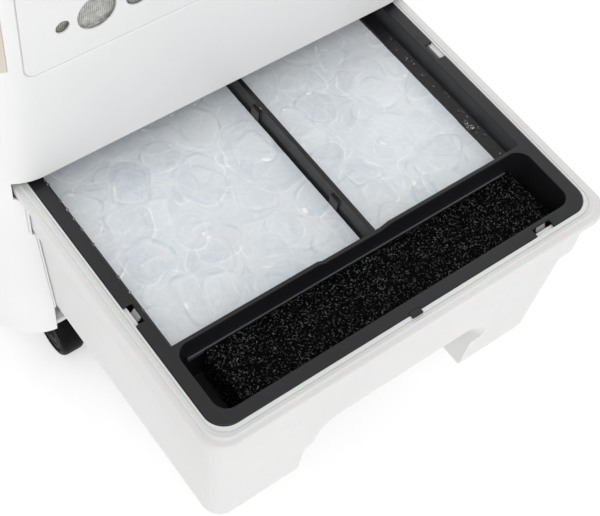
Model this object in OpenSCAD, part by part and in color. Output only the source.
// Portable evaporative air cooler with a pull-out water and ice tank.
// Origin: floor level, middle of the footprint with the tank pulled out. +Z up.
// The tank slides out towards -Y. Cool air leaves through the louvres on the +Y side.

/* [Body] */
// Width of the cabinet
body_w = 374; // [366:1:400]
// Depth of the cabinet
body_d = 330; // [326:1:360]
// Overall height, from the floor
body_top = 700; // [690:1:740]
// Radius of the cabinet's upright corners
corner_r = 42; // [38:1:46]
// Thickness of the cabinet shells
wall = 3; // [2.5:0.5:3.5]
// Height of the cabinet's lower edge above the floor
base_z = 48; // [48:1:50]

/* [Tank] */
// Width of the black tray's flange
flange_w = 310; // [310:1:312]
// Width of the visible flange band
flange_band = 10; // [8:1:12]
// Height of the flange above the floor
flange_z = 237; // [237:1:238]
// Distance that the tank is pulled out
pull_out = 227; // [200:1:230]
// Overall depth of the tank
tank_d = 305; // [296:1:310]
// Wall of the water tank
tank_wall = 2.5; // [2:0.5:3]

/* [Ice tray] */
// Depth of the filter pocket at the tank's front
pocket_d = 53; // [50:1:55]
// Level of the ice and water below the flange
ice_level = 20; // [18:1:24]
// Place of the divider right of the centre line
divider_x = 18; // [-20:1:30]

/* [Castors] */
// Radius of a castor wheel
wheel_r = 23; // [22:0.5:23]
// Width of one wheel
wheel_w = 20; // [16:1:20]

/* [Air path] */
// Outer radius of the blower wheel
fan_r = 78; // [70:1:80]
// Number of blower blades
fan_blades = 30; // [20:1:36]
// Width of the air outlet
outlet_w = 270; // [250:1:280]
// Height of the air outlet
outlet_h = 96; // [90:1:100]

/* [Hidden] */
$fn = 64;
eps = 0.01;
// Places along Y
rear_y = (pull_out - body_d) / 2;
front_y = rear_y + body_d;
seam_y = rear_y + 104;
body_mid_y = (rear_y + front_y) / 2;
tank_front = rear_y - pull_out;
rim_out = 10;
arch_hw = flange_w / 2 - 78.8;
tray_y = tank_front + rim_out + 1;
tank_mid_y = tank_front + tank_d / 2;
tank_w = flange_w + 2 * rim_out;
// Heights
top_joint = body_top - 50;
open_top = flange_z + 6;
leg_z = flange_z - 157.6;
arch_z = flange_z - 93;
step_z = flange_z - 50;
rail_top = leg_z - 0.4;
// Tray
flange_t = 2.5;
tray_t = 2.5;
well_hw = flange_w / 2 - flange_band;
tray_len = tank_d - 57;
pocket_back = flange_band + pocket_d;
ledge_bar_d = 1.6;
foam_y0 = flange_band + 4.5;
foam_y1 = pocket_back - ledge_bar_d - 0.5;
basin_y0 = pocket_back + 3;
basin_y1 = tray_len - 6;
basin_floor = flange_z - 80;
pocket_floor = flange_z - 52;
ledge_w = 7;
ledge_drop = 17;
basin_hw = well_hw - ledge_w;
divider_t = 3.5;
divider_top = flange_z - 6.5;
ice_top = flange_z - ice_level;
// Cabinet openings
mouth_top_hw = tank_w / 2 + 1.6;
mouth_mid_hw = tank_w / 2 - 8.4;
mouth_low_hw = flange_w / 2 - 4.5;
panel_w = 298;
panel_z0 = flange_z + 105;
panel_z1 = top_joint - 14;
panel_mid_z = (panel_z0 + panel_z1) / 2;
panel_h = panel_z1 - panel_z0;
panel_r = 8;
trim_z0 = flange_z + 116;
trim_z1 = top_joint - 8;
trim_x = 159;
trim_t = 1.2;
handle_y = rear_y + 190;
handle_z = top_joint - 60;
handle_l = 110;
handle_h = 34;
handle_deep = 26;
// Cooling pad
pad_y0 = rear_y + 12;
pad_y1 = rear_y + 54;
pad_hw = 138;
pad_z0 = panel_z0 + 4;
pad_z1 = panel_z1 - 12;
// Air path
fan_y0 = rear_y + 74;
fan_len = 72;
fan_z = 434;
scroll_r = 96;
shaft_r = 4;
outlet_z = 592;
outlet_y = front_y - 26;
duct_low = outlet_z - outlet_h / 2 - 18;
duct_y0 = fan_y0 - 4;
louvre_n = 3;
louvre_pin_r = 2;
vane_n = 4;
vane_pitch = outlet_w / vane_n;
vane_y = outlet_y - 16;
link_off = 9;
link_hw = 2.6;
crank_r = 1.4;
run = 0.3;
// Control panel
control_y = front_y - 62;
control_w = 250;
control_d = 62;
button_r = 8;
button_pitch = 34;
button_n = 5;
// Pump, in the well behind the tray
pump_x = 124;
pump_y = tank_front + tank_d - 39;
// Castors
castor_x = 126;
castor_trail = 11;
castor_in = 26;
wheel_gap = 6;
stem_r = 5.5;
socket_top = base_z + 20;
axle_r = 3;
brake_pin_y = 20.5;
brake_pin_r = 1.2;
rear_pivot_y = rear_y + castor_in;
front_pivot_y = front_y - 50;

white = "#ececec";
shade_white = "#dedede";
black = "#2f2f31";
dark = "#3c3f42";
beige = "#dad3c8";
steel = "#b9bcc0";
grey = "#9a9a98";
ice_white = "#dde3e8";

// ---------- shared shapes ----------

// Rectangle with round corners, centred
module round_rect(w, d, r) {
    square([w - 2 * r, d], center = true);
    square([w, d - 2 * r], center = true);
    for (x = [-1, 1], y = [-1, 1]) translate([x * (w / 2 - r), y * (d / 2 - r)]) circle(r);
}

// Upright block with round corners, from z0 to z1
module round_block(w, d, r, z0, z1, y = 0) {
    translate([0, y, z0]) linear_extrude(z1 - z0) round_rect(w, d, r);
}

// Box between two corners
module box(low, high) {
    translate(low) cube(high - low);
}

// Cylinder along X, centred
module bar_x(r, len) {
    rotate([0, 90, 0]) cylinder(r = r, h = len, center = true);
}

// Cylinder along Y from y = 0
module bar_y(r, len) {
    rotate([-90, 0, 0]) cylinder(r = r, h = len);
}

// Outline in the XZ plane, pushed out along +Y from y0 to y1
module push_y(y0, y1) {
    translate([0, y1, 0]) rotate([90, 0, 0]) linear_extrude(y1 - y0) children();
}

module both_sides() {
    children();
    mirror([1, 0, 0]) children();
}

// ---------- cabinet ----------

// Cabinet outline as an open tube, shrunk by inset and hollowed to the wall's thickness
module cabinet_tube(inset, thick, z0, z1) {
    difference() {
        round_block(body_w - 2 * inset, body_d - 2 * inset, corner_r - inset, z0, z1, body_mid_y);
        round_block(body_w - 2 * (inset + thick), body_d - 2 * (inset + thick),
            corner_r - inset - thick, z0 - 1, z1 + 1, body_mid_y);
    }
}

// Outline of the mouth that the tank slides through
module mouth_outline() {
    half = [
        [mouth_low_hw, base_z - 1], [mouth_low_hw, leg_z], [mouth_mid_hw, step_z - 4.5],
        [mouth_top_hw - 6, step_z - 1.5], [mouth_top_hw - 6, flange_z - 14.5],
        [mouth_top_hw, flange_z - 10.8], [mouth_top_hw, open_top]
    ];
    last = len(half) - 1;
    polygon(concat(half, [for (i = [0:last]) [-half[last - i][0], half[last - i][1]]]));
}

// Side trim's outline seen from the side, used for the recess and the trim
module trim_blank(clear, thick) {
    intersection() {
        cabinet_tube(-eps, thick, trim_z0 - clear, trim_z1 + clear);
        box([-body_w, rear_y - 5, trim_z0 - clear], [-trim_x + clear, seam_y - 5 + clear, trim_z1 + clear]);
    }
}

// Intake side of the cabinet, with the tank's mouth
module rear_shell() {
    color(white) difference() {
        intersection() {
            cabinet_tube(0, wall, base_z, top_joint);
            box([-body_w, rear_y - 1, base_z], [body_w, seam_y, top_joint]);
        }
        push_y(rear_y - 2, rear_y + 62) mouth_outline();
        // recess and window behind the intake panel
        push_y(rear_y - 1, rear_y + 1.8) translate([0, panel_mid_z])
            round_rect(panel_w + 1.6, panel_h + 1.6, panel_r + 0.8);
        push_y(rear_y - 1, rear_y + wall + 1) translate([0, panel_mid_z])
            round_rect(panel_w - 16, panel_h - 16, 6);
        both_sides() trim_blank(0.3, trim_t + 0.3);
    }
}

// Outlet side of the cabinet
module front_shell() {
    color(white) difference() {
        intersection() {
            cabinet_tube(0, wall, base_z, top_joint);
            box([-body_w, seam_y + 0.4, base_z], [body_w, front_y + 1, top_joint]);
        }
        push_y(front_y - wall - 1, front_y + 1) translate([0, outlet_z])
            round_rect(outlet_w + 1, outlet_h + 1, 10.5);
        both_sides() translate([body_w / 2 - wall - 1, handle_y, handle_z]) rotate([90, 0, 90])
            linear_extrude(wall + 2) round_rect(handle_l + 0.6, handle_h + 0.6, 12.3);
        // hole for the power inlet
        push_y(front_y - wall - 1, front_y + 1) translate([-120, 96]) square([27.6, 20.6], center = true);
    }
}

// Lid of the cabinet with its recess for the control panel
module top_cover() {
    lid_r = 7;
    color(white) difference() {
        union() {
            round_block(body_w, body_d, corner_r, top_joint + 0.4, body_top - lid_r, body_mid_y);
            hull() {
                round_block(body_w, body_d, corner_r, body_top - lid_r - 1, body_top - lid_r,
                    body_mid_y, $fn = 48);
                round_block(body_w - 4, body_d - 4, corner_r - 2, body_top - 3, body_top - 2.5, body_mid_y);
                round_block(body_w - 2 * lid_r, body_d - 2 * lid_r, corner_r - lid_r, body_top - 0.5,
                    body_top, body_mid_y);
            }
        }
        round_block(body_w - 2 * wall, body_d - 2 * wall, corner_r - wall, top_joint - 1,
            body_top - lid_r - 3, body_mid_y);
        translate([0, control_y, body_top - 3.2]) linear_extrude(5)
            round_rect(control_w + 0.6, control_d + 0.6, 12.3);
        translate([0, control_y, body_top - 12]) linear_extrude(12)
            round_rect(control_w - 10, control_d - 10, 8);
    }
    // posts for the control board
    color(white) for (x = [-121, 121]) translate([x, control_y + 18, body_top - 18.2])
        cylinder(r = 3.4, h = 9);
}

// Floor of the cabinet with the castor sockets
module chassis_base() {
    floor_t = 5;
    color(shade_white) difference() {
        union() {
            round_block(body_w - 2 * wall - 1, body_d - 2 * wall - 1, corner_r - wall - 0.5,
                base_z + 1, base_z + 1 + floor_t, body_mid_y);
            for (x = [-castor_x, castor_x], y = [rear_pivot_y, front_pivot_y])
                translate([x, y, base_z + 1]) cylinder(r = 12, h = socket_top - base_z + 2);
            // upright corner walls beside the tank's runners
            both_sides() box([flange_w / 2 + 1, rear_y + 14, base_z + 1],
                [flange_w / 2 + 3.5, rear_y + 70, leg_z - 6]);
            // cross rib at the front
            box([-130, front_y - 36, base_z + 1], [130, front_y - 33, base_z + 20]);
        }
        for (x = [-castor_x, castor_x], y = [rear_pivot_y, front_pivot_y])
            translate([x, y, base_z]) cylinder(r = stem_r + 0.1, h = socket_top - base_z);
        // drain slots
        for (y = [0:5]) translate([0, rear_y + 70 + 36 * y, base_z]) linear_extrude(10)
            round_rect(90, 8, 4);
    }
}

// Pair of raised rails that carry the tank's runners
module tank_rails() {
    rail_in = 82;
    rail_out = 143;
    color(shade_white) both_sides() difference() {
        box([rail_in, rear_y + 8, base_z + 6], [rail_out, rear_y + 292, rail_top]);
        box([rail_in + 3, rear_y + 5, base_z + 5], [rail_out - 3, rear_y + 295, rail_top - 3]);
    }
}

// Perforated cover over the air intake: small, large and medium dots in turn, shifted by half a
// repeat on every other row
module intake_panel() {
    dots = [[0, 4.8], [23.5, 13.5], [53, 9.5]];
    repeat = 74;
    row_pitch = 27;
    first_x = -121.5;
    edge = panel_w / 2 - 7;
    rows = floor((panel_h - 2 * 30) / row_pitch);
    color(white) difference() {
        push_y(rear_y + 0.1, rear_y + 1.7) translate([0, panel_mid_z]) round_rect(panel_w, panel_h, panel_r);
        for (j = [0:rows], i = [-1:4], d = dots) {
            x = first_x + repeat * (i + (j % 2) / 2) + d[0];
            if (abs(x) + d[1] < edge)
                translate([x, rear_y - 1, panel_z0 + 30 + j * row_pitch]) bar_y(d[1], 5, $fn = 40);
        }
    }
}

// Washable mesh screen in its thin frame
module dust_filter() {
    color(grey) push_y(rear_y + 4, rear_y + 6) translate([0, panel_mid_z]) difference() {
        round_rect(panel_w - 24, panel_h - 24, 6);
        for (i = [-2:2], j = [-2:2])
            translate([i * 50, j * 50]) square([46, 46], center = true);
    }
    color(grey) push_y(rear_y + 4.6, rear_y + 5.4) translate([0, panel_mid_z])
        round_rect(panel_w - 26, panel_h - 26, 5);
}

// Frame around the cooling pad
module pad_frame() {
    color(dark) difference() {
        box([-pad_hw - 4, pad_y0 - 2, pad_z0 - 4], [pad_hw + 4, pad_y1 + 2, pad_z1 + 4]);
        box([-pad_hw - 0.4, pad_y0 - 0.4, pad_z0 - 0.4], [pad_hw + 0.4, pad_y1 + 0.4, pad_z1 + 0.4]);
        box([-pad_hw + 8, pad_y0 - 9, pad_z0 + 8], [pad_hw - 8, pad_y1 + 9, pad_z1 - 8]);
        // drip slots below and feed slot above
        for (x = [-100:50:100]) box([x - 15, pad_y0 + 8, pad_z0 - 9], [x + 15, pad_y1 - 8, pad_z0 + 1]);
        box([-pad_hw + 10, pad_y0 + 10, pad_z1 - 1], [pad_hw - 10, pad_y1 - 10, pad_z1 + 9]);
    }
}

// Corrugated cellulose pad, a plain block here
module cooling_pad() {
    color("#8a6f4d") box([-pad_hw, pad_y0, pad_z0], [pad_hw, pad_y1, pad_z1]);
}

// Trough that spreads pumped water along the pad's top edge
module water_trough() {
    trough_y = (pad_y0 + pad_y1) / 2;
    color(dark) difference() {
        box([-pad_hw, trough_y - 12, pad_z1 + 4.4], [pad_hw, trough_y + 12, pad_z1 + 12]);
        box([-pad_hw + 2, trough_y - 10, pad_z1 + 6.4], [pad_hw - 2, trough_y + 10, pad_z1 + 13]);
        for (x = [-130:20:130]) translate([x, trough_y, pad_z1 + 3]) cylinder(r = 1.5, h = 5);
    }
}

// Sloping catch tray that leads water from the pad back to the tank
module drip_tray() {
    color(dark) difference() {
        box([-pad_hw - 4, pad_y0 - 2, pad_z0 - 26], [pad_hw + 4, pad_y1 + 4, pad_z0 - 4.4]);
        box([-pad_hw - 1.5, pad_y0 + 0.5, pad_z0 - 23.5], [pad_hw + 1.5, pad_y1 + 1.5, pad_z0 - 4]);
        translate([-60, pad_y0 + 30, pad_z0 - 30]) cylinder(r = 7, h = 20);
    }
    // outlet pipe above the tank
    color(dark) translate([-60, pad_y0 + 30, open_top + 4]) difference() {
        cylinder(r = 9.5, h = pad_z0 - 26 - open_top - 4);
        translate([0, 0, -1]) cylinder(r = 7, h = pad_z0 - open_top);
    }
}

// Riser pipe between the docked pump's spout and the trough
module water_connector() {
    riser_x = pad_hw + 14;
    riser_y = pad_y1 + 12;
    dock_y = pump_y + pull_out;
    pipe_z = open_top + 14;
    color(dark) difference() {
        union() {
            translate([pump_x, dock_y, open_top + 2]) cylinder(r = 8, h = 16);
            translate([pump_x, riser_y, pipe_z]) bar_y(4, dock_y - riser_y);
            translate([pump_x, riser_y, pipe_z]) rotate([0, 90, 0]) cylinder(r = 4, h = riser_x - pump_x);
            translate([pump_x, riser_y, pipe_z]) sphere(4);
            translate([riser_x, riser_y, pipe_z - 4]) cylinder(r = 5, h = pad_z1 + 20 - pipe_z + 4);
            box([pad_hw - 12, riser_y - 4, pad_z1 + 13], [riser_x, riser_y + 4, pad_z1 + 20]);
            box([pad_hw - 12, riser_y - 30, pad_z1 + 12.4], [pad_hw - 4, riser_y + 4, pad_z1 + 20]);
        }
        translate([pump_x, dock_y, open_top]) cylinder(r = 5.8, h = 10);
    }
}

// ---------- blower ----------

// Outline of the scroll: a spiral that opens upwards
module scroll_outline(extra) {
    steps = 24;
    grow = 22;
    reach = function (a) scroll_r + grow * a / 270 + extra;
    spiral = [for (i = [0:steps]) let (a = 270 * i / steps) [reach(a) * cos(a + 180), -reach(a) * sin(a)]];
    difference() {
        union() {
            circle(scroll_r + extra);
            polygon(concat([[0, 0]], [for (p = spiral) [p[0], p[1]]]));
            translate([-scroll_r - extra, 0])
                square([reach(180) + scroll_r + extra, duct_low - fan_z + extra]);
        }
        if (extra <= 0) translate([-200, duct_low - fan_z]) square([400, 200]);
    }
}

// Scroll casing with its back plate
module fan_housing() {
    color(shade_white) difference() {
        push_y(fan_y0 - 3, fan_y0 + fan_len + 3) translate([0, fan_z]) intersection() {
            scroll_outline(3);
            translate([-200, -200]) square([400, 200 + duct_low - fan_z]);
        }
        push_y(fan_y0, fan_y0 + fan_len) translate([0, fan_z]) scroll_outline(0);
        // inlet eye and motor hole
        translate([0, fan_y0 - 5, fan_z]) bar_y(60, 10, $fn = 96);
        translate([0, fan_y0 + fan_len - 5, fan_z]) bar_y(24, 12);
        push_y(fan_y0, fan_y0 + fan_len) translate([0, fan_z])
            translate([-scroll_r, duct_low - fan_z - 5]) square([2 * scroll_r + 14, 10]);
    }
}

// Bell-shaped ring that leads air into the wheel
module fan_inlet_ring() {
    color(dark) translate([0, fan_y0 - 3.2, fan_z]) rotate([90, 0, 0]) rotate_extrude($fn = 96) {
        translate([61, 0]) square([14, 2]);
        translate([58, 2]) circle(3, $fn = 24);
        translate([55.5, -6]) square([3, 8]);
    }
}

// Forward-curved blower wheel on its shaft
module fan_wheel() {
    y1 = fan_len - 10;
    color(black) translate([0, fan_y0 + 5, fan_z]) {
        translate([0, y1 - 3, 0]) bar_y(fan_r, 3, $fn = 96);
        translate([0, y1 - 22, 0]) bar_y(13, 20);
        translate([0, y1 - 3, 0]) bar_y(shaft_r, 56);
        difference() {
            bar_y(fan_r, 3, $fn = 96);
            translate([0, -1, 0]) bar_y(fan_r - 12, 5, $fn = 96);
        }
        for (i = [0:fan_blades - 1]) rotate([0, i * 360 / fan_blades, 0])
            translate([fan_r - 10.5, 1, 0]) rotate([0, 28, 0]) box([-5, 0, -0.8], [8, y1 - 2, 0.8]);
    }
}

// Motor can with a bore for the wheel's shaft
module fan_motor() {
    color(steel) translate([0, fan_y0 + fan_len, fan_z]) difference() {
        union() {
            translate([0, 6, 0]) bar_y(34, 46);
            translate([0, 52, 0]) bar_y(14, 8);
            translate([0, 0.5, 0]) bar_y(10, 6);
        }
        translate([0, -1, 0]) bar_y(shaft_r + 0.05, 60);
    }
}

// Spider that carries the motor on the scroll's back plate
module motor_bracket() {
    plate_y = fan_y0 + fan_len + 3.2;
    color(steel) difference() {
        union() {
            translate([0, plate_y, fan_z]) bar_y(30, 2.6);
            for (a = [45:90:315]) translate([0, plate_y, fan_z]) rotate([0, a, 0])
                box([25, 0, -7], [72, 2.6, 7]);
        }
        translate([0, plate_y - 1, fan_z]) bar_y(10.4, 5);
        for (a = [45:90:315]) translate([0, plate_y - 1, fan_z]) rotate([0, a, 0])
            translate([64, 0, 0]) bar_y(2.2, 5);
    }
}

// Elbow duct from the scroll's mouth to the outlet louvres
module air_duct() {
    x_out = outlet_w / 2 - 2;
    z0 = duct_low + 0.4;
    z1 = outlet_z + outlet_h / 2 - 3;
    y1 = vane_y - 18;
    color(shade_white) difference() {
        box([-x_out - 2, duct_y0, z0], [x_out + 2, y1, z1 + 2]);
        box([-x_out, duct_y0 + 2, z0 + 2], [x_out, y1 + 2, z1]);
        box([-scroll_r, fan_y0, z0 - 2], [scroll_r + 13, fan_y0 + fan_len, z0 + 5]);
    }
}

// ---------- outlet ----------

// Bezel and sleeve that hold the louvres and vanes
module outlet_frame() {
    sleeve_y0 = vane_y - 14;
    color(white) difference() {
        push_y(sleeve_y0, front_y) translate([0, outlet_z]) round_rect(outlet_w, outlet_h, 10);
        push_y(sleeve_y0 - 1, front_y + 2) translate([0, outlet_z]) round_rect(outlet_w - 6, outlet_h - 6, 7);
        for (k = [0:louvre_n - 1]) translate([0, outlet_y + 8, louvre_zk(k)])
            bar_x(louvre_pin_r + 0.05, outlet_w + 10);
        for (k = [0:vane_n - 1]) translate([vane_xk(k), vane_y, outlet_z - outlet_h])
            cylinder(r = louvre_pin_r + 0.05, h = 2 * outlet_h);
    }
}

function louvre_zk(k) = outlet_z + (k - (louvre_n - 1) / 2) * (outlet_h - 8) / louvre_n;
function vane_xk(k) = (k - (vane_n - 1) / 2) * vane_pitch;

// One horizontal blade with its pivot pins, its crank pin and the notch around the link
module louvre(k) {
    span = outlet_w - 8;
    link_x = outlet_w / 2 - 14;
    color(white) translate([0, outlet_y + 8, louvre_zk(k)]) {
        bar_x(louvre_pin_r, outlet_w - 1);
        difference() {
            union() {
                box([-span / 2, -11, -1.1], [span / 2, 12, 1.1]);
                bar_x(3.4, span);
            }
            box([link_x - 5, -12, -2], [link_x + 5, -4.6, 2]);
        }
        translate([link_x, -link_off, 0]) bar_x(crank_r, 12);
    }
}
module louvre_1() { louvre(0); }
module louvre_2() { louvre(1); }
module louvre_3() { louvre(2); }

// Upright link that joins the three blades' crank pins
module louvre_link() {
    link_x = outlet_w / 2 - 14;
    color(dark) translate([0, outlet_y + 8 - link_off, 0]) difference() {
        box([link_x - 1, -link_hw, louvre_zk(0) - 5], [link_x + 1, link_hw, louvre_zk(louvre_n - 1) + 5]);
        for (k = [0:louvre_n - 1]) translate([link_x, 0, louvre_zk(k)]) bar_x(crank_r + 0.2, 10);
    }
}

// One upright vane with its pivots
module vane(k) {
    tall = outlet_h - 8;
    color(shade_white) translate([vane_xk(k), vane_y, outlet_z]) {
        cylinder(r = louvre_pin_r, h = outlet_h - 1, center = true);
        box([-0.9, -10, -tall / 2], [0.9, 9, tall / 2]);
        cylinder(r = 3, h = tall, center = true);
        translate([0, -link_off, -tall / 2 + 8]) cylinder(r = crank_r, h = 14, center = true);
    }
}
module vane_1() { vane_cut(0); }
module vane_2() { vane_cut(1); }
module vane_3() { vane_cut(2); }
module vane_4() { vane_cut(3); }

// Vane with the notch that lets the link pass
module vane_cut(k) {
    tall = outlet_h - 8;
    color(shade_white) difference() {
        vane(k);
        translate([vane_xk(k), vane_y - link_off, outlet_z - tall / 2 + 8]) difference() {
            cube([12, 9, 4.4], center = true);
            cylinder(r = crank_r, h = 20, center = true);
        }
    }
}

// Flat link that joins the vanes' crank pins
module vane_link() {
    link_z = outlet_z - (outlet_h - 8) / 2 + 8;
    color(dark) translate([0, vane_y - link_off, link_z]) difference() {
        box([vane_xk(0) - 5, -link_hw, -1], [vane_xk(vane_n - 1) + 5, link_hw, 1]);
        for (k = [0:vane_n - 1]) translate([vane_xk(k), 0, 0])
            cylinder(r = crank_r + 0.2, h = 10, center = true);
    }
}

// ---------- controls ----------

function button_xk(k) = -12 + (k - (button_n - 1) / 2) * button_pitch + 34;

// Gloss plate set into the lid
module control_panel() {
    color(black) difference() {
        translate([0, control_y, body_top - 3]) linear_extrude(3) round_rect(control_w, control_d, 12);
        for (k = [0:button_n - 1]) translate([button_xk(k), control_y, body_top - 5])
            cylinder(r = button_r + run, h = 8);
        translate([-84, control_y, body_top - 5]) linear_extrude(8) round_rect(54.4, 26.4, 4.2);
    }
}

// Tinted window over the display
module display_window() {
    color(dark) translate([-84, control_y, body_top - 3]) linear_extrude(3.1) round_rect(54, 26, 4);
}

// Circuit board with one tact switch under each button
module control_board() {
    color("#2f6b46") difference() {
        box([-124, control_y - 24, body_top - 20], [124, control_y + 24, body_top - 18.4]);
        for (x = [-121, 121]) translate([x, control_y + 18, body_top - 22]) cylinder(r = 1.5, h = 5);
    }
    color(dark) for (k = [0:button_n - 1]) translate([button_xk(k), control_y, body_top - 18.4]) {
        translate([-3, -3, 0]) cube([6, 6, 4]);
    }
    color(dark) translate([-84, control_y, body_top - 18.4]) box([-24, -11, 0], [24, 11, 13]);
}

// Push button with its stem and retaining collar
module button(k) {
    color(grey) translate([button_xk(k), control_y, body_top]) {
        translate([0, 0, -4.5]) cylinder(r = button_r, h = 6);
        translate([0, 0, -6]) cylinder(r = button_r + 1.6, h = 1.6);
        translate([0, 0, -12.6]) cylinder(r = 2.5, h = 8);
    }
}
module button_1() { button(0); }
module button_2() { button(1); }
module button_3() { button(2); }
module button_4() { button(3); }
module button_5() { button(4); }

// ---------- trim, handles, inlet, screws ----------

module left_side_trim() { color(beige) trim_blank(0, trim_t); }
module right_side_trim() { color(beige) mirror([1, 0, 0]) trim_blank(0, trim_t); }

// Recessed carrying grips in both sides
module handle_cups() {
    color(shade_white) both_sides() translate([body_w / 2, handle_y, handle_z]) rotate([90, 0, 90])
    difference() {
        union() {
            translate([0, 0, -handle_deep]) linear_extrude(handle_deep) round_rect(handle_l, handle_h, 12);
            translate([0, 0, -wall - 2.3]) linear_extrude(2) round_rect(handle_l + 8, handle_h + 8, 14);
        }
        translate([0, 0, -handle_deep + 2]) linear_extrude(handle_deep)
            round_rect(handle_l - 4, handle_h - 4, 10);
    }
}

// Appliance inlet socket for the mains lead
module power_inlet() {
    color(black) translate([-120, front_y, 96]) difference() {
        union() {
            box([-13.5, -24, -10], [13.5, 0, 10]);
            box([-17, -wall - 2.2, -13.5], [17, -wall - 0.2, 13.5]);
        }
        box([-11, -18, -7.5], [11, 1, 7.5]);
    }
    color(steel) for (x = [-5, 5]) translate([-120 + x, front_y, 96]) box([-1, -20, -2.5], [1, -6, 2.5]);
}

// Cross-head screws along the seams of the floor
module body_screws() {
    color(steel) for (x = [-88, 0, 88], y = [rear_y + 40, front_y - 50])
        translate([x, y, base_z]) {
            difference() {
                translate([0, 0, -1.4]) cylinder(r = 4, h = 2.4);
                translate([0, 0, -1.9]) cube([5, 1, 2], center = true);
                translate([0, 0, -1.9]) cube([1, 5, 2], center = true);
            }
            cylinder(r = 1.7, h = 7);
        }
}

// ---------- tank ----------

// Slice of the tank's outline for its tapered lower body
module tank_slice(inset, r, z) {
    round_block(tank_w - 2 * inset, tank_d - 2 * inset, r, z, z + 0.4, tank_mid_y, $fn = 48);
}

// Outline of the arch between the runners
module arch_outline(grow) {
    fillet = 22;
    top = arch_z + grow;
    w = arch_hw + grow;
    translate([-w, leg_z - 5]) square([2 * w, top - fillet - leg_z + 5]);
    translate([-w + fillet, leg_z - 5]) square([2 * (w - fillet), top - leg_z + 5]);
    for (x = [-1, 1]) translate([x * (w - fillet), top - fillet]) circle(fillet);
}

// Water tank with rolled rim, two runners and the arch between them
module water_tank() {
    color(white) difference() {
        union() {
            // rolled rim and the raised bead inside it
            round_block(tank_w, tank_d, 25, flange_z - 9, flange_z - 1.2, tank_mid_y);
            round_block(tank_w - 9, tank_d - 9, 21, flange_z - 4, flange_z - 0.2, tank_mid_y);
            // upright band below the rim
            round_block(tank_w - 12, tank_d - 12, 19, step_z, flange_z - 4, tank_mid_y);
            hull() {
                tank_slice(10, 17, step_z - 0.2);
                tank_slice(16.4, 14, leg_z);
            }
            push_y(tank_front + 6, tank_front + 13.5) band_bulge();
        }
        // space inside the rim for the tray's flange
        round_block(flange_w + 0.6, tank_d - 21, 15, flange_z - flange_t - 0.1, flange_z + 5,
            tray_y + (tank_d - 21) / 2);
        round_block(flange_w - 6, tank_d - 29, 13, flange_z - 20, flange_z + 5, tank_mid_y);
        round_block(tank_w - 12 - 2 * tank_wall, tank_d - 12 - 2 * tank_wall, 17, step_z + tank_wall,
            flange_z - 9 - 2, tank_mid_y);
        difference() {
            hull() {
                tank_slice(10 + tank_wall, 15, step_z + tank_wall);
                tank_slice(16.4 + tank_wall, 12, leg_z + tank_wall);
            }
            push_y(tank_front - 10, tank_front + tank_d + 10) arch_outline(tank_wall);
        }
        push_y(tank_front - 10, tank_front + tank_d + 10) arch_outline(0);
    }
}

// Middle of the front wall, level with the band between the runners
module band_bulge() {
    half = arch_hw + 6;
    translate([-half, arch_z - 4]) square([2 * half, step_z - arch_z + 10]);
}

// Black tray: flange, filter pocket and ice basin
module ice_tray() {
    color(black) translate([0, tray_y, 0]) difference() {
        union() {
            translate([0, tray_len / 2 + 0.2, flange_z - flange_t]) linear_extrude(flange_t)
                round_rect(flange_w - 0.4, tray_len, 15);
            translate([0, (pocket_back + flange_band) / 2, pocket_floor - tray_t])
                linear_extrude(52 + tray_t - 1)
                    round_rect(2 * (well_hw + tray_t), pocket_d + 2 * tray_t, 11);
            box([-well_hw - tray_t, pocket_back, basin_floor - tray_t],
                [well_hw + tray_t, basin_y1 + tray_t, flange_z - 1]);
            // small tab that hooks over the rim at the front
            box([-6.5, -3, flange_z - 0.1], [2.5, 2, flange_z + 0.9]);
        }
        // filter pocket
        translate([0, (pocket_back + flange_band) / 2, pocket_floor])
            linear_extrude(60) round_rect(2 * well_hw, pocket_d, 10);
        // ice basin, narrower below its side ledges
        box([-well_hw, basin_y0, flange_z - ledge_drop], [well_hw, basin_y1, flange_z + 5]);
        push_y(basin_y0, basin_y1) polygon([
            [-well_hw, flange_z - ledge_drop + eps], [-basin_hw, flange_z - ice_level],
            [-basin_hw, basin_floor], [basin_hw, basin_floor],
            [basin_hw, flange_z - ice_level], [well_hw, flange_z - ledge_drop + eps]
        ]);
        // shallow dip in the partition
        push_y(pocket_back - 1, basin_y0 + 1) polygon([
            [-33, flange_z + 1], [-27, flange_z - 2.4], [21, flange_z - 2.4], [31, flange_z + 1]
        ]);
        // notches for the clips and the rim's tabs
        box([-flange_w / 2 - 1, 90.5, flange_z - 5], [-flange_w / 2 + 6.6, 105.5, flange_z + 1]);
        box([flange_w / 2 - 6.6, 158.5, flange_z - 5], [flange_w / 2 + 1, 173.5, flange_z + 1]);
        box([105, -1, flange_z - 5], [120.3, 6.4, flange_z + 1]);
    }
}

// Cross wall between the two ice compartments, with its stiffening tabs
module divider_bar() {
    color("#505458") translate([divider_x, tray_y, 0]) {
        box([-divider_t / 2, basin_y0 + 0.2, basin_floor + 0.2],
            [divider_t / 2, basin_y1 - 0.2, divider_top]);
        for (y = [102, 195]) box([-divider_t / 2 - 1.6, y, ice_top - 3],
            [-divider_t / 2, y + 9, divider_top - 6]);
    }
}

// Open-cell foam block in the pocket
module filter_sponge() {
    color("#141414") translate([7, tray_y + (foam_y0 + foam_y1) / 2, pocket_floor + 2])
        linear_extrude(31.5) round_rect(262, foam_y1 - foam_y0, 4);
}

// Glossy strip along the back of the pocket that keeps the foam down
module sponge_ledge() {
    color("#5a5a5a") translate([0, tray_y, 0])
        box([-well_hw + 10, pocket_back - ledge_bar_d - 0.1, flange_z - 24],
            [well_hw - 10, pocket_back - 0.1, flange_z - 20]);
}

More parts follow.
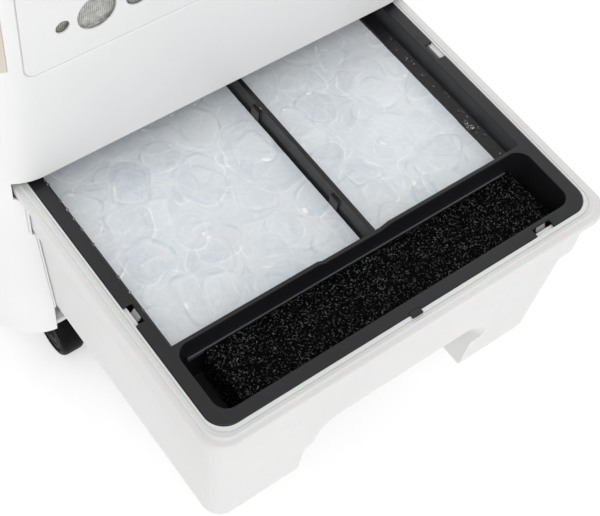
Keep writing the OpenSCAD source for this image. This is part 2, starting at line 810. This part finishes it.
// Block of ice and water in one compartment
module ice_block(x0, x1) {
    color(ice_white) box([x0, tray_y + basin_y0 + 0.3, basin_floor + 0.3],
        [x1, tray_y + basin_y1 - 0.3, ice_top - 0.6]);
}
module ice_left() { ice_block(-basin_hw + 0.3, divider_x - divider_t / 2 - 1.9); }
module ice_right() { ice_block(divider_x + divider_t / 2 + 0.3, basin_hw - 0.3); }

// Spring clips that lock the tray in the tank
module tray_clips() {
    color(grey) {
        push_y(tray_y + 94, tray_y + 102) polygon([
            [-flange_w / 2 + 3.4, flange_z - 4.6], [-flange_w / 2 + 6.3, flange_z - 4.6],
            [-flange_w / 2 + 6.3, flange_z - 0.4]
        ]);
        translate([108.5, tray_y, flange_z]) rotate([90, 0, 90]) linear_extrude(8)
            polygon([[4.4, -4.6], [6.2, -4.6], [6.2, -0.4]]);
    }
}

// Submersible pump in the well behind the tray, with its spout
module water_pump() {
    color(black) {
        box([pump_x - 17, pump_y - 14, leg_z + tank_wall + 1], [pump_x + 17, pump_y + 14, leg_z + 46]);
        translate([pump_x, pump_y, leg_z + 44]) difference() {
            cylinder(r = 5, h = flange_z - leg_z - 44 - 3);
            translate([0, 0, 2]) cylinder(r = 3.2, h = flange_z - leg_z);
        }
    }
}

// ---------- castors ----------

// Swivelling hood with its stem; the pivot is at x = 0, y = 0 and the wheels trail towards -Y
module castor_hood() {
    web = wheel_gap - 0.5;
    color(black) {
        translate([0, 0, base_z - 3]) cylinder(r = stem_r, h = 22);
        translate([0, 0, base_z - 1.4]) cylinder(r = 9, h = 2.2);
        difference() {
            union() {
                translate([0, -castor_trail, wheel_r]) bar_x(17, 2 * web);
                box([-web, -castor_trail - 2, wheel_r], [web, 9, base_z - 1.2]);
            }
            translate([0, -castor_trail, wheel_r]) bar_x(axle_r + 0.05, 40);
        }
    }
}

// Hood with the ear that carries a brake lever
module braked_hood() {
    castor_hood();
    color(black) translate([0, -castor_trail, wheel_r]) difference() {
        box([-1.6, -24, 1], [1.6, -14, 7]);
        translate([0, -brake_pin_y, 4]) bar_x(brake_pin_r + 0.05, 10);
    }
}

// Two wheels on their axle
module wheel_pair() {
    color(black) for (s = [-1, 1]) translate([s * (wheel_gap + wheel_w / 2), -castor_trail, wheel_r])
        rotate([0, 90, 0]) rotate_extrude($fn = 72) polygon([
            [axle_r, -wheel_w / 2], [wheel_r - 2, -wheel_w / 2], [wheel_r, -wheel_w / 2 + 2],
            [wheel_r, wheel_w / 2 - 2], [wheel_r - 2, wheel_w / 2], [axle_r, wheel_w / 2]
        ]);
    color(steel) translate([0, -castor_trail, wheel_r]) bar_x(axle_r, 2 * (wheel_gap + wheel_w) - 1);
}

// Foot lever of a braked castor: two cheeks on a pin, and the pedal
module brake_lever() {
    color(dark) translate([0, -castor_trail, wheel_r]) {
        translate([0, -brake_pin_y, 4]) bar_x(brake_pin_r, 9.8);
        for (s = [-1, 1]) translate([s * 3.4, 0, 0]) {
            translate([0, -brake_pin_y, 4]) bar_x(2.7, 3);
            box([-1.5, -32, 2], [1.5, -brake_pin_y, 6]);
        }
        box([-18, -38, 1.5], [18, -31, 6.5]);
    }
}

// Places a castor at its pivot; turn = 180 points the wheels towards +Y
module at_castor(x, y, turn = 0) { translate([x, y, 0]) rotate([0, 0, turn]) children(); }
module castor_1() { at_castor(-castor_x, rear_pivot_y) castor_hood(); }
module castor_2() { at_castor(castor_x, rear_pivot_y) castor_hood(); }
module castor_3() { at_castor(-castor_x, front_pivot_y, 180) braked_hood(); }
module castor_4() { at_castor(castor_x, front_pivot_y, 180) braked_hood(); }
module castor_wheels_1() { at_castor(-castor_x, rear_pivot_y) wheel_pair(); }
module castor_wheels_2() { at_castor(castor_x, rear_pivot_y) wheel_pair(); }
module castor_wheels_3() { at_castor(-castor_x, front_pivot_y, 180) wheel_pair(); }
module castor_wheels_4() { at_castor(castor_x, front_pivot_y, 180) wheel_pair(); }
module brake_lever_3() { at_castor(-castor_x, front_pivot_y, 180) brake_lever(); }
module brake_lever_4() { at_castor(castor_x, front_pivot_y, 180) brake_lever(); }

rear_shell();
front_shell();
top_cover();
chassis_base();
tank_rails();
intake_panel();
dust_filter();
pad_frame();
cooling_pad();
water_trough();
drip_tray();
water_connector();
fan_housing();
fan_inlet_ring();
fan_wheel();
fan_motor();
motor_bracket();
air_duct();
outlet_frame();
louvre_1();
louvre_2();
louvre_3();
louvre_link();
vane_1();
vane_2();
vane_3();
vane_4();
vane_link();
control_panel();
display_window();
control_board();
button_1();
button_2();
button_3();
button_4();
button_5();
left_side_trim();
right_side_trim();
handle_cups();
power_inlet();
body_screws();
water_tank();
ice_tray();
divider_bar();
filter_sponge();
sponge_ledge();
ice_left();
ice_right();
tray_clips();
water_pump();
castor_1();
castor_2();
castor_3();
castor_4();
castor_wheels_1();
castor_wheels_2();
castor_wheels_3();
castor_wheels_4();
brake_lever_3();
brake_lever_4();
